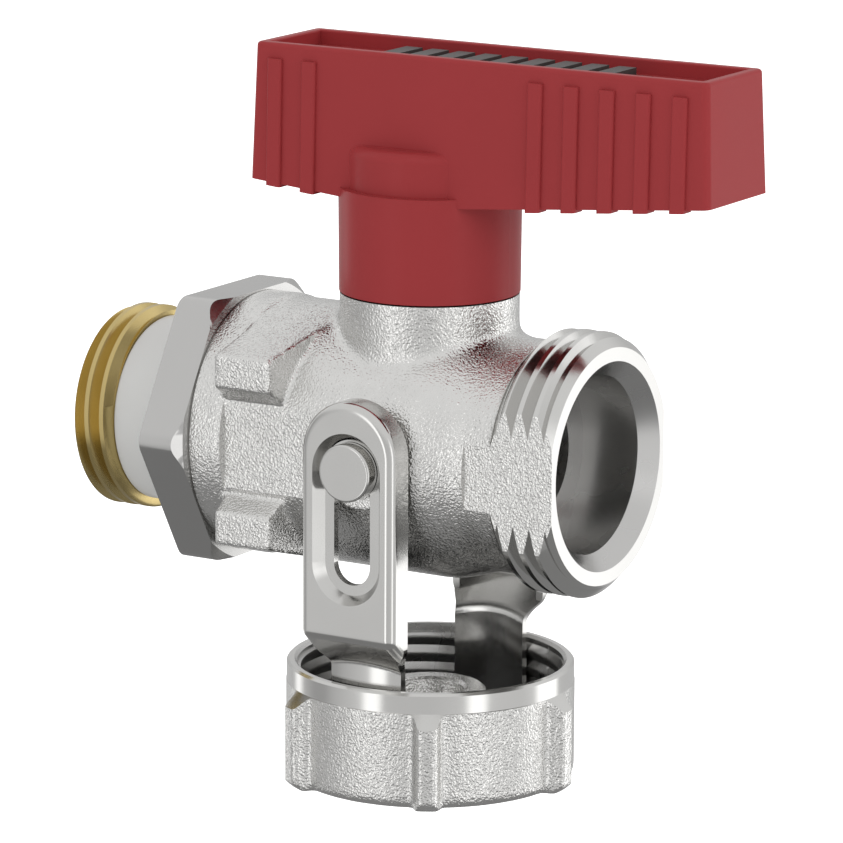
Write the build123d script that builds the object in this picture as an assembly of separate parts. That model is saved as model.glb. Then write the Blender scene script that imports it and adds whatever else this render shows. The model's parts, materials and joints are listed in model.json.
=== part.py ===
from build123d import *
from math import atan2, cos, radians, sin, sqrt, tan
import os

os.makedirs("parts", exist_ok=True)

# Fill and drain ball valve, in millimetres. Everything is modelled about the crossing of the
# pipe axis (X, flow towards the outlet) and the stem axis (Z), and moved at the end so that
# the origin lies in the centre of the inlet's end face.

# Pipe ends: G 3/4 outlet and G 1/2 inlet, both with 14 turns to the inch
thread_pitch = 1.814
thread_depth = 1.162
outlet_thread_r = 13.22
inlet_thread_r = 10.48
stem_to_outlet_face = 20.65
stem_to_inlet_face = 36.30
outlet_face_r = 11.85
outlet_crests = 3
inlet_crests = 3
thread_land = 0.44
inlet_chamfer_x = 0.35
inlet_chamfer_r = 0.50

# Forged body
barrel_r = 13.10
collar_r = 13.35
collar_width = 3.85
throat_r = 11.75
throat_start = 10.77
taper_length = 6.40
outlet_flat_depth = 0.48
body_back = 20.15
neck_r = 9.0
neck_fillet = 1.5
neck_top = 15.50
spigot_r = 6.2
spigot_top = 22.5
stop_angles = (217.0, 53.0)
stop_width = 28.0
tab_width = 42.0
tab_lift = 0.5
stop_gap = 0.25
stop_top = 21.0
ball_room_r = 9.70
port_r = 6.0
counterbore_r = 8.95
counterbore_depth = 7.95
mouth_r = 10.47
mouth_depth = 1.70
lug_height = 1.20
lug_slope = 15.6
lug_low_z = 6.35
lug_undercut = 35.0
lug_start = 16.40
lug_length = 6.50
pin_boss_r = 4.2
pin_boss_height = 0.95

# Inlet tailpiece with its hexagon, seal ring and thread
hex_across_flats = 27.0
hex_width = 4.64
hex_corner_r = 2.0
hex_chamfer_r = 14.75
hex_chamfer_slope = 40.0
socket_r = 10.90
socket_depth = 9.65
seal_ring_r = 9.52
seal_core_r = 8.30
inlet_bore_r = 7.0
inlet_bore_depth = 13.0
o_ring_section_r = 0.66
tail_groove_offset = 1.6
close_fit = 0.10
ring_gap = 0.03
merge = 0.10

# Ball, seats and stem
ball_r = 9.20
ball_port_r = 5.90
ball_gap = 0.10
seat_width = 3.40
ball_slot_width = 3.40
ball_slot_floor = 7.30
stem_r = 3.50
stem_gap = 0.06
stem_flange_r = 4.60
stem_flange_height = 1.20
thrust_washer_height = 0.60
washer_gap = 0.05
tang_gap = 0.10
stem_flat = 2.50
stem_top = 30.30
stem_ring_levels = (14.2, 17.6)
stem_ring_section_r = 0.45
groove_depth = 0.95
groove_width = 1.45

# Red lever handle: a hub with a skirt under a long hollow grip
skirt_bottom = 15.69
skirt_r = 9.07
skirt_top_r = 9.16
skirt_top = 26.19
skirt_bore_r = 7.50
hub_gap = 0.60
dome_r = 8.34
dome_top = 30.60
dome_edge_r = 1.1
grip_top = 39.95
grip_left_top = 16.96
grip_left_low = 17.41
grip_right_top = 34.08
grip_right_low = 34.55
grip_left_low_z = 26.18
grip_right_low_z = 27.80
grip_keel_z = 24.70
grip_half_top = 5.79
grip_half_low = 6.17
grip_wall = 1.15
grip_corner_r = 0.7
rim_outer_r = 0.40
rim_inner_r = 0.20
rim_height = 1.50
deck_thickness = 1.60
rib_width = 1.66
rib_proud = 0.42
rib_pitch = 3.97
rib_top = 38.42
rib_drop = 0.28
first_right_rib = 15.37
right_ribs = 5
first_left_rib = 14.46
left_ribs = 2
web_width = 1.0
web_pitch = 6.0
first_right_web = 14.9
right_webs = 3
left_web = 12.4
screw_seat_z = 31.0
screw_room_r = 4.50
insert_start = -6.30
insert_length = 29.2
insert_thickness = 1.2
insert_gap = 0.12
insert_bar_height = 0.85
insert_bars = 9
insert_bar_width = 1.9
insert_side_wall = 0.6
insert_end_land = 0.8
insert_bar_inset = 0.7

# Handle screw and washer
washer_r = 4.2
washer_bore_r = 2.15
washer_thickness = 0.8
screw_head_r = 3.5
screw_head_height = 2.2
screw_r = 1.95
screw_length = 7.0
screw_recess = 2.2

# Cap bracket: one pressed strip that hangs from two headed pins
pin_offset = 0.30
pin_r = 2.0
pin_gap = 0.06
pin_depth = 2.6
pin_head_r = 2.89
pin_head_height = 1.50
strip_thickness = 0.80
strip_half_width = 5.38
bracket_gap = 0.22
strip_top_centre = 1.55
strip_edge_depth = 2.90
strip_edge_r = 0.90
slot_travel = 9.50
slot_half_width = 2.07
dish_r = 3.90
dish_floor_r = 3.10
dish_depth = 1.15
bend_level = 16.95
bend_r = 0.50
foot_bend_r = 0.70
waist_start = 17.70
waist_end = 20.60
arm_gap = 0.46
arm_level = 19.90
arm_half_width = 4.05
web_ring_r = 8.0
running_gap = 0.10

# Screw cap with its seal
cap_rim_level = 22.19
cap_rim_r = 14.56
cap_rim_height = 2.05
cap_r = 14.62
cap_bore_r = 13.48
cap_height = 11.90
cap_floor = 1.70
cap_edge_r = 1.0
cap_ribs = 6
cap_rib_r = 16.17
cap_rib_half_top = 0.90
cap_rib_half_base = 1.40
cap_rib_facet = 1.35
cap_boss_r = 5.60
cap_boss_top = 3.0
cap_boss_bore_r = 3.40
seal_thickness = 2.10
seal_side_gap = 0.30
seal_boss_gap = 0.05

# Places that follow from the sizes above
face_x = stem_to_outlet_face
inlet_x = -stem_to_inlet_face
seat_x = ball_room_r - 1.0
tail_nose_x = -seat_x
seat_r = ball_room_r - close_fit
hex_front_x = -body_back
hex_back_x = hex_front_x - hex_width
lug_front = barrel_r + lug_height
outlet_flat = throat_r - outlet_flat_depth
tail_groove_x = hex_front_x + tail_groove_offset
inlet_crest_x = inlet_x + inlet_chamfer_x + thread_land / 2
thread_back_x = inlet_crest_x + (inlet_crests - 1) * thread_pitch + thread_land / 2
flange_low_z = ball_room_r
flange_top_z = flange_low_z + stem_flange_height
washer_low_z = flange_top_z + washer_gap
stem_ceiling_z = washer_low_z + thrust_washer_height + washer_gap
stem_bore_r = stem_r + stem_gap
deck_top_z = grip_top - rim_height
deck_low_z = deck_top_z - deck_thickness
hub_ceiling_z = spigot_top + hub_gap
boss_face_y = barrel_r + pin_boss_height
strip_outer_y = boss_face_y + bracket_gap + strip_thickness + dish_depth
arm_r = cap_bore_r - arm_gap
dish_floor_y = strip_outer_y - dish_depth
head_inner_y = dish_floor_y + running_gap
strip_inner_y = strip_outer_y - strip_thickness
flange_y = strip_outer_y - strip_edge_depth
arm_inner_r = arm_r - strip_thickness
arm_lean = atan2(strip_outer_y - arm_r, arm_level - bend_level)
cap_low_z = -cap_rim_level - cap_height
cap_floor_z = cap_low_z + cap_floor
web_low_z = cap_floor_z + running_gap
web_top_z = web_low_z + strip_thickness
seal_low_z = web_top_z + running_gap
boss_top_z = -cap_rim_level - cap_boss_top


def turned_x(points):
    outline = Polyline(*points, close=True)
    return revolve(make_face(outline), Axis.X)


def turned_z(points):
    outline = Polyline(*points, close=True)
    return revolve(Plane.XZ * make_face(outline), Axis.Z)


def along_x(outline_yz, start, end):
    return extrude(Plane.YZ.offset(start) * outline_yz, end - start)


def across_y(outline_xz, near, far):
    return extrude(Plane.XZ.offset(-far) * outline_xz, far - near)


def upright(radius, low, high, x=0.0):
    return Pos(x, 0, low) * Cylinder(radius, high - low, align=(Align.CENTER, Align.CENTER, Align.MIN))


def sideways(radius, near, far, x=0.0):
    lying = Rotation(-90, 0, 0) * Cylinder(radius, far - near, align=(Align.CENTER, Align.CENTER, Align.MIN))
    return Pos(x, near, 0) * lying


def sector(inner_r, outer_r, low, high, middle_deg, spread_deg):
    reach = 2 * outer_r
    first = radians(middle_deg - spread_deg / 2)
    last = radians(middle_deg + spread_deg / 2)
    wedge = make_face(Polyline((0, 0), (reach * cos(first), reach * sin(first)),
                               (reach * cos(last), reach * sin(last)), close=True))
    ring = upright(outer_r, low, high) - upright(inner_r, low, high)
    return ring & extrude(Pos(0, 0, low) * wedge, high - low)


def thread_points(first_crest, turns, major_r):
    points = []
    for turn in turns:
        crest = first_crest + turn * thread_pitch
        points.append((crest - thread_pitch / 2, major_r - thread_depth))
        points.append((crest - thread_land / 2, major_r))
        points.append((crest + thread_land / 2, major_r))
    return points[1:]


def barrel():
    last_crest = face_x - (outlet_thread_r - outlet_face_r) - thread_land / 2
    first_crest = last_crest - (outlet_crests - 1) * thread_pitch
    thread = thread_points(first_crest, range(outlet_crests), outlet_thread_r)
    thread_root = first_crest - thread_pitch / 2
    taper_start = throat_start - taper_length
    back = Polyline((throat_start, throat_r), (thread_root, throat_r), *thread, (face_x, outlet_face_r),
                    (face_x, 0), (hex_front_x, 0), (hex_front_x, collar_r),
                    (hex_front_x + collar_width - 0.5, collar_r), (hex_front_x + collar_width, barrel_r),
                    (taper_start, barrel_r))
    taper = Bezier((taper_start, barrel_r), (taper_start + taper_length / 2, barrel_r),
                   (throat_start - taper_length / 3, throat_r), (throat_start, throat_r))
    return revolve(make_face(back + taper), Axis.X)


def cast_lugs():
    lean = radians(lug_slope)
    touch_y = barrel_r * sin(lean)
    touch_z = barrel_r * cos(lean)
    lug_high_z = touch_z - (lug_front - touch_y) * tan(lean)
    inner_y = barrel_r - 2.5
    inner_z = lug_low_z - (lug_front - inner_y) * tan(radians(lug_undercut))
    outline = Polyline((0, 0), (-touch_y, touch_z), (-lug_front, lug_high_z), (-lug_front, lug_low_z),
                       (-inner_y, inner_z), close=True)
    section = make_face(outline)
    front_corners = section.vertices().group_by(Axis.X)[0]
    section = fillet(front_corners, 0.5)
    lug = along_x(section, -lug_start, lug_length - lug_start)
    pair = lug + mirror(lug, Plane.XY)
    return pair + mirror(pair, Plane.XZ)


def valve_body():
    shell = barrel() + upright(neck_r, 0, neck_top)
    saddle = [e for e in shell.edges() if e.geom_type not in (GeomType.LINE, GeomType.CIRCLE)
              and e.center().Z > throat_r / 2 and abs(e.center().X) < neck_r + 0.5]
    shell = fillet(saddle, neck_fillet)
    shell += cast_lugs()
    for side in (-1, 1):
        ends = sorted((0, side * boss_face_y))
        shell += sideways(pin_boss_r, ends[0], ends[1], pin_offset)
        flat = Box(2 * stem_to_outlet_face, barrel_r, 4 * barrel_r,
                   align=(Align.MIN, Align.MIN if side > 0 else Align.MAX, Align.CENTER))
        shell -= Pos(throat_start, side * outlet_flat, 0) * flat
    shell += upright(spigot_r, neck_top - 1, spigot_top)
    for middle in stop_angles:
        shell += sector(spigot_r - 1, skirt_bore_r - stop_gap, neck_top, stop_top, middle, stop_width)
    shell -= turned_x([(hex_front_x, 0), (hex_front_x, socket_r), (hex_front_x + socket_depth, socket_r),
                       (hex_front_x + socket_depth, ball_room_r), (seat_x, ball_room_r), (seat_x, port_r),
                       (face_x - counterbore_depth, port_r), (face_x - counterbore_depth, counterbore_r),
                       (face_x - mouth_depth, counterbore_r), (face_x, mouth_r), (face_x, 0)])
    shell -= upright(stem_flange_r + 2 * close_fit, 0, stem_ceiling_z)
    shell -= upright(stem_bore_r, 0, spigot_top)
    for side in (-1, 1):
        ends = sorted((side * (boss_face_y - pin_depth), side * (boss_face_y + 1)))
        shell -= sideways(pin_r + pin_gap, ends[0], ends[1], pin_offset)
    return shell


def hexagon():
    half = hex_across_flats / 2
    outline = RegularPolygon(half / cos(radians(30)), 6)
    outline = fillet(outline.vertices(), hex_corner_r)
    block = along_x(outline, hex_back_x, hex_front_x)
    tip_r = half / cos(radians(30))
    slant = (tip_r - hex_chamfer_r) * tan(radians(hex_chamfer_slope))
    shape = turned_x([(hex_back_x, 0), (hex_back_x, tip_r), (hex_front_x - slant, tip_r),
                      (hex_front_x, hex_chamfer_r), (hex_front_x, 0)])
    return block & shape


def inlet_tailpiece():
    spigot_x = hex_front_x + socket_depth - close_fit
    socket_fit = socket_r - close_fit
    thread = thread_points(inlet_crest_x, range(inlet_crests), inlet_thread_r)
    nipple = [(inlet_x, 0), (inlet_x, inlet_thread_r - inlet_chamfer_r)] + thread
    core = [(thread_back_x, seal_core_r), (hex_front_x, seal_core_r), (hex_front_x, socket_fit),
            (spigot_x, socket_fit), (spigot_x, seat_r), (tail_nose_x, seat_r), (tail_nose_x, 0)]
    outside = turned_x(nipple + core)
    tail = outside + hexagon()
    bore_x = inlet_x + inlet_bore_depth
    tail -= turned_x([(inlet_x, 0), (inlet_x, inlet_bore_r), (bore_x, inlet_bore_r),
                      (bore_x + inlet_bore_r - port_r, port_r), (tail_nose_x, port_r), (tail_nose_x, 0)])
    groove_floor = socket_fit - 2 * o_ring_section_r
    groove_start = tail_groove_x - groove_width / 2
    groove_end = tail_groove_x + groove_width / 2
    tail -= turned_x([(groove_start, groove_floor), (groove_start, socket_r), (groove_end, socket_r),
                      (groove_end, groove_floor)])
    return tail


def tailpiece_o_ring():
    mean_r = socket_r - ring_gap - o_ring_section_r
    return Pos(tail_groove_x, 0, 0) * Rotation(0, 90, 0) * Torus(mean_r, o_ring_section_r)


def inlet_seal_ring():
    return turned_x([(thread_back_x, seal_core_r), (thread_back_x, seal_ring_r), (hex_back_x, seal_ring_r),
                     (hex_back_x, seal_core_r)])


def seat(side):
    cup_r = ball_r + ball_gap
    low_x = seat_x - seat_width
    cup_start = (low_x, sqrt(cup_r ** 2 - low_x ** 2))
    cup_end = (sqrt(cup_r ** 2 - port_r ** 2), port_r)
    middle_r = (cup_start[1] + port_r) / 2
    cup = ThreePointArc(cup_end, (sqrt(cup_r ** 2 - middle_r ** 2), middle_r), cup_start)
    outside = Polyline(cup_start, (low_x, seat_r), (seat_x, seat_r), (seat_x, port_r), cup_end)
    ring = revolve(make_face(outside + cup), Axis.X)
    return ring if side > 0 else mirror(ring, Plane.YZ)


def ball():
    solid = Sphere(ball_r)
    solid -= Rotation(0, 90, 0) * Cylinder(ball_port_r, 3 * ball_r)
    slot = Box(ball_slot_width, 3 * ball_r, ball_r, align=(Align.CENTER, Align.CENTER, Align.MIN))
    return solid - Pos(0, 0, ball_slot_floor) * slot


def stem():
    tang_width = ball_slot_width - 2 * tang_gap
    tang_low = ball_slot_floor + tang_gap
    tang = Pos(0, 0, tang_low) * Box(tang_width, 2 * stem_r, flange_low_z + 2 * merge - tang_low,
                                     align=(Align.CENTER, Align.CENTER, Align.MIN))
    flange = upright(stem_flange_r, flange_low_z, flange_top_z)
    shaft = upright(stem_r, flange_low_z, stem_top)
    for level in stem_ring_levels:
        shaft -= upright(stem_r + 1, level - groove_width / 2, level + groove_width / 2) \
            - upright(stem_r - groove_depth, level - groove_width / 2, level + groove_width / 2)
    for side in (-1, 1):
        cheek = Box(4 * stem_r, stem_r, stem_top, align=(Align.CENTER, Align.MIN if side > 0 else Align.MAX,
                                                         Align.MIN))
        shaft -= Pos(0, side * stem_flat, hub_ceiling_z - 2 * merge) * cheek
    shaft -= upright(screw_r, screw_seat_z - screw_length, stem_top)
    return tang + flange + shaft


def stem_o_ring(level):
    mean_r = stem_bore_r - ring_gap - stem_ring_section_r
    return Pos(0, 0, level) * Torus(mean_r, stem_ring_section_r)


def stem_thrust_washer():
    return upright(stem_flange_r, washer_low_z, washer_low_z + thrust_washer_height) \
        - upright(stem_bore_r, washer_low_z, washer_low_z + thrust_washer_height)


def grip_reach(top_reach, low_reach, low_z, z):
    return top_reach + (low_reach - top_reach) * (grip_top - z) / (grip_top - low_z)


def grip_elevation(inset, low_shift, top):
    outline = [(0, grip_keel_z - low_shift)]
    for z in (grip_right_low_z - low_shift, top):
        reach = grip_reach(grip_right_top, grip_right_low, grip_right_low_z, z)
        outline.append((reach - inset, z))
    for z in (top, grip_left_low_z - low_shift):
        reach = grip_reach(grip_left_top, grip_left_low, grip_left_low_z, z)
        outline.append((inset - reach, z))
    return make_face(Polyline(*outline, close=True))


def grip_section(outset):
    slope = (grip_half_low - grip_half_top) / (grip_top - grip_left_low_z)
    low_z = grip_keel_z - 2
    low_half = grip_half_top + (grip_top - low_z) * slope + outset
    top_half = grip_half_top + outset
    return make_face(Polyline((-low_half, low_z), (low_half, low_z), (top_half, grip_top),
                              (-top_half, grip_top), close=True))


def grip_block(inset, low_shift, top):
    tall = across_y(grip_elevation(inset, low_shift, top), -2 * grip_half_low, 2 * grip_half_low)
    return tall & along_x(grip_section(-inset), -2 * grip_left_low, 2 * grip_right_low)


def grip_rib(x):
    tall = across_y(grip_elevation(0, rib_drop, rib_top), -2 * grip_half_low, 2 * grip_half_low)
    rib = tall & along_x(grip_section(rib_proud), x - rib_width / 2, x + rib_width / 2)
    outer_edges = [e for e in rib.edges() if abs(e.center().Y) > grip_half_top and e.length > 3 * rib_width]
    return fillet(outer_edges, 0.28)


def handle():
    grip = grip_block(0, 0, grip_top)
    corners = [e for e in grip.edges() if e.bounding_box().size.Z > grip_half_low
               and abs(e.center().X) > grip_left_top / 2]
    grip = fillet(corners, grip_corner_r)
    grip = fillet(grip.faces().sort_by(Axis.Z)[-1].edges(), rim_outer_r)
    for index in range(right_ribs):
        grip += grip_rib(first_right_rib + index * rib_pitch)
    for index in range(left_ribs):
        grip += grip_rib(-first_left_rib + index * rib_pitch)
    grip -= grip_block(grip_wall, 2, deck_low_z)
    for x in [-left_web] + [first_right_web + index * web_pitch for index in range(right_webs)]:
        grip += grip_block(grip_wall / 2, -1, deck_top_z - 2 * merge) & \
            Pos(x, 0, 0) * Box(web_width, 4 * grip_half_low, 4 * grip_top)
    rim_room = grip_block(grip_wall, 2, grip_top + 1)
    grip -= rim_room & Pos(0, 0, deck_top_z) * Box(4 * grip_right_low, 4 * grip_half_low, 2 * rim_height,
                                                   align=(Align.CENTER, Align.CENTER, Align.MIN))
    rim = [f for f in grip.faces() if abs(f.center().Z - grip_top) < rim_inner_r / 2]
    grip = fillet(rim[0].inner_wires()[0].edges(), rim_inner_r)
    skirt = turned_z([(0, skirt_bottom), (skirt_r, skirt_bottom), (skirt_top_r, skirt_top), (0, skirt_top)])
    dome = upright(dome_r, skirt_top - 1, dome_top)
    dome = fillet(dome.edges().sort_by(Axis.Z)[-1], dome_edge_r)
    core = upright(dome_r, skirt_top - 1, deck_low_z + 2 * merge) \
        & grip_block(grip_wall / 2, 2, deck_top_z)
    hub = grip + skirt + dome + core
    hub -= upright(skirt_bore_r, skirt_bottom, hub_ceiling_z)
    shaft_hole = upright(stem_r + close_fit / 2, spigot_top, screw_seat_z)
    shaft_hole &= Box(4 * stem_r, 2 * stem_flat + close_fit, 4 * stem_top)
    hub -= shaft_hole
    hub -= upright(screw_room_r, screw_seat_z, grip_top)
    hub -= insert_pocket()
    hub += sector(spigot_r + stop_gap, skirt_bore_r + 3 * merge, skirt_bottom + tab_lift, hub_ceiling_z, 180,
                  tab_width)
    return hub


def insert_pocket():
    half_width = grip_half_top - grip_wall - insert_side_wall
    return Pos(insert_start, 0, deck_top_z - insert_thickness) * Box(
        insert_length, 2 * half_width, 2 * insert_thickness, align=(Align.MIN, Align.CENTER, Align.MIN))


def handle_insert():
    half_width = grip_half_top - grip_wall - insert_side_wall - insert_gap
    length = insert_length - 2 * insert_gap
    start = insert_start + insert_gap
    floor_z = deck_top_z - insert_thickness
    plate = Pos(start, 0, floor_z) * Box(length, 2 * half_width, insert_thickness,
                                         align=(Align.MIN, Align.CENTER, Align.MIN))
    pitch = (length - 2 * insert_end_land) / insert_bars
    for index in range(insert_bars):
        x = start + insert_end_land + (index + 0.5) * pitch
        bar = Box(insert_bar_width, 2 * (half_width - insert_bar_inset), insert_bar_height + merge,
                  align=(Align.CENTER, Align.CENTER, Align.MIN))
        plate += Pos(x, 0, deck_top_z - merge) * bar
    return plate


def handle_washer():
    return upright(washer_r, screw_seat_z, screw_seat_z + washer_thickness) \
        - upright(washer_bore_r, screw_seat_z, screw_seat_z + washer_thickness)


def handle_screw():
    head_z = screw_seat_z + washer_thickness
    head = upright(screw_head_r, head_z, head_z + screw_head_height)
    head = fillet(head.edges().sort_by(Axis.Z)[-1], 0.8)
    shank = upright(screw_r - 0.05, screw_seat_z - screw_length + 0.5, head_z)
    drive = extrude(Pos(0, 0, head_z + screw_head_height - 1.4) * RegularPolygon(screw_recess, 6), 2)
    return head + shank - drive


def bracket_pin(side):
    inner = boss_face_y - pin_depth + close_fit
    pin = sideways(pin_r, inner, head_inner_y + 0.1, pin_offset)
    head = sideways(pin_head_r, head_inner_y, head_inner_y + pin_head_height, pin_offset)
    head = fillet(head.edges().sort_by(Axis.Y)[-1], 0.25)
    pin += head
    return pin if side > 0 else mirror(pin, Plane.XZ)


def strip_outline(inset, low):
    half = strip_half_width - inset
    side = Line((-half, strip_top_centre), (-half, low)) + Line((-half, low), (half, low)) \
        + Line((half, low), (half, strip_top_centre))
    top = ThreePointArc((half, strip_top_centre), (0, strip_top_centre + half), (-half, strip_top_centre))
    return Pos(pin_offset, 0) * make_face(side + top)


def slot_outline(radius):
    return Pos(pin_offset, -slot_travel / 2) * SlotCenterToCenter(slot_travel, radius * 2, rotation=90)


# Side view of the strip from its flat down its leaning part, thickness mm in from the front
def strip_profile(inset, radius, back_y, top_z):
    front_y = strip_outer_y - inset
    corner_z = inset * tan(arm_lean / 2) - bend_level
    end_z = corner_z - (front_y - back_y) / tan(arm_lean)
    line = Polyline((front_y, top_z), (front_y, corner_z), (back_y, end_z), (back_y, top_z), close=True)
    outline = make_face(line)
    return fillet(outline.vertices().sort_by_distance((front_y, corner_z, 0))[0], radius)


# Flat front and leaning part with their rolled edges, like a tray that is open at the back
def strip_tray():
    half = strip_half_width
    top_z = strip_top_centre + 2 * half
    low_z = -2 * bend_level
    outside = strip_profile(0, bend_r + strip_thickness, flange_y, top_z)
    tray = along_x(outside, pin_offset - half, pin_offset + half)
    tray &= across_y(strip_outline(0, low_z), flange_y, strip_outer_y)
    rolled = [e for e in tray.edges() if e.center().Y > flange_y + strip_thickness / 2
              and e.bounding_box().size.Z > strip_thickness / 4]
    tray = fillet(rolled, strip_edge_r)
    room_half = half - strip_thickness
    inside = strip_profile(strip_thickness, bend_r, flange_y - 1, top_z)
    room = along_x(inside, pin_offset - room_half, pin_offset + room_half)
    return tray - (room & across_y(strip_outline(strip_thickness, low_z), flange_y - 1, strip_outer_y))


def side_plate():
    plate = strip_tray()
    dish_back = loft([Plane.XZ.offset(-strip_inner_y - 0.01) * slot_outline(dish_r + 0.25),
                      Plane.XZ.offset(-dish_floor_y + strip_thickness) * slot_outline(dish_floor_r + 0.45)])
    dish_front = loft([Plane.XZ.offset(-strip_outer_y) * slot_outline(dish_r),
                       Plane.XZ.offset(-dish_floor_y) * slot_outline(dish_floor_r)])
    plate += dish_back
    plate -= dish_front
    return plate - across_y(slot_outline(slot_half_width), flange_y, strip_outer_y + 1)


# Leaning sheet that runs on to a foot rolled to the round of the cap
def curved_foot():
    left = pin_offset - strip_half_width
    right = pin_offset + strip_half_width
    deep_y = arm_inner_r - arm_half_width / 2
    over = along_x(strip_profile(strip_thickness, bend_r, deep_y, 0), left, right)
    sheet = along_x(strip_profile(0, bend_r, deep_y, 0), left, right) - over
    lower_half = Box(2 * strip_half_width, strip_outer_y, 2 * bend_level,
                     align=(Align.CENTER, Align.MAX, Align.MAX))
    sheet &= Pos(pin_offset, flange_y + strip_thickness / 2, -bend_level) * lower_half
    sheet -= upright(arm_inner_r, web_low_z, 0, pin_offset)
    foot = upright(arm_r, web_low_z, -bend_level, pin_offset)
    foot -= upright(arm_inner_r, web_low_z, -bend_level, pin_offset)
    foot &= Pos(pin_offset, arm_r, 0) * Box(2 * strip_half_width, arm_half_width, 4 * bend_level)
    foot -= over
    joined = sheet + foot
    creases = joined.edges().filter_by(GeomType.ELLIPSE).sort_by(Axis.Y)
    joined = fillet(creases[0], foot_bend_r + strip_thickness)
    creases = joined.edges().filter_by(GeomType.ELLIPSE).sort_by(Axis.Y)
    return fillet(creases[-1], foot_bend_r)


# Front view of the strip: full width down to the bend, then drawn in to the foot
def waist_outline():
    wide = strip_half_width
    slim = arm_half_width
    middle = -(waist_start + waist_end) / 2
    right = Bezier((wide, -waist_start), (wide, middle), (slim, middle), (slim, -waist_end))
    left = Bezier((-slim, -waist_end), (-slim, middle), (-wide, middle), (-wide, -waist_start))
    low = Polyline((slim, -waist_end), (slim, web_low_z), (-slim, web_low_z), (-slim, -waist_end))
    high = Polyline((-wide, -waist_start), (-wide, 2 * wide), (wide, 2 * wide), (wide, -waist_start))
    return Pos(pin_offset, 0) * make_face(right + low + left + high)


def cap_bracket():
    half = side_plate() + curved_foot()
    half &= across_y(waist_outline(), 0, strip_outer_y)
    web = Pos(pin_offset, 0, web_low_z) * Box(2 * arm_half_width, 2 * arm_r, strip_thickness,
                                              align=(Align.CENTER, Align.CENTER, Align.MIN))
    web &= upright(arm_r - strip_thickness / 2, web_low_z, web_top_z, pin_offset)
    web += upright(web_ring_r, web_low_z, web_top_z, pin_offset)
    web -= upright(cap_boss_r + running_gap, web_low_z, web_top_z, pin_offset)
    return half + mirror(half, Plane.XZ) + web


def cap_rib(angle):
    top_z = -cap_rim_level - cap_rim_height
    inner_r = cap_r - 0.6
    plan = make_face(Polyline((inner_r, -cap_rib_half_base), (cap_r, -cap_rib_half_base),
                              (cap_rib_r, -cap_rib_half_top), (cap_rib_r, cap_rib_half_top),
                              (cap_r, cap_rib_half_base), (inner_r, cap_rib_half_base), close=True))
    rib = extrude(Pos(0, 0, cap_low_z) * plan, top_z - cap_low_z)
    tip_r = cap_rib_r + 0.1
    cone = turned_z([(0, cap_low_z), (cap_rib_r - cap_edge_r, cap_low_z), (tip_r, cap_low_z + cap_edge_r),
                     (tip_r, top_z - cap_rib_facet), (cap_rim_r, top_z), (0, top_z)])
    return Rotation(0, 0, angle) * (rib & cone)


def cap():
    rim_low_z = -cap_rim_level - cap_rim_height
    shell = turned_z([(0, cap_low_z), (cap_r - cap_edge_r, cap_low_z), (cap_r - 0.3, cap_low_z + 0.3),
                      (cap_r, cap_low_z + cap_edge_r), (cap_r, rim_low_z), (cap_rim_r, rim_low_z),
                      (cap_rim_r, -cap_rim_level - 0.15), (cap_rim_r - 0.15, -cap_rim_level),
                      (0, -cap_rim_level)])
    for index in range(cap_ribs):
        shell += cap_rib(index * 360 / cap_ribs)
    shell -= upright(cap_bore_r, cap_floor_z, 0)
    shell += upright(cap_boss_r, cap_floor_z - 0.5, boss_top_z)
    shell -= upright(cap_boss_bore_r, cap_floor_z, 0)
    return Pos(pin_offset, 0, 0) * shell


def cap_seal():
    outer_r = arm_inner_r - seal_side_gap
    inner_r = cap_boss_r + seal_boss_gap
    top_z = seal_low_z + seal_thickness
    return upright(outer_r, seal_low_z, top_z, pin_offset) - upright(inner_r, seal_low_z, top_z, pin_offset)


def write(name, shape):
    export_step(Pos(stem_to_inlet_face, 0, 0) * shape, f"parts/{name}.step")


write("valve_body", valve_body())
write("inlet_tailpiece", inlet_tailpiece())
write("tailpiece_o_ring", tailpiece_o_ring())
write("inlet_seal_ring", inlet_seal_ring())
write("inlet_seat", seat(-1))
write("outlet_seat", seat(1))
write("ball", ball())
write("stem", stem())
write("stem_thrust_washer", stem_thrust_washer())
write("lower_stem_o_ring", stem_o_ring(stem_ring_levels[0]))
write("upper_stem_o_ring", stem_o_ring(stem_ring_levels[1]))
write("handle", handle())
write("handle_insert", handle_insert())
write("handle_washer", handle_washer())
write("handle_screw", handle_screw())
write("near_bracket_pin", bracket_pin(-1))
write("far_bracket_pin", bracket_pin(1))
write("cap_bracket", cap_bracket())
write("cap", cap())
write("cap_seal", cap_seal())
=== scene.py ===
import bpy
import json
import math
from mathutils import Matrix, Vector

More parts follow.
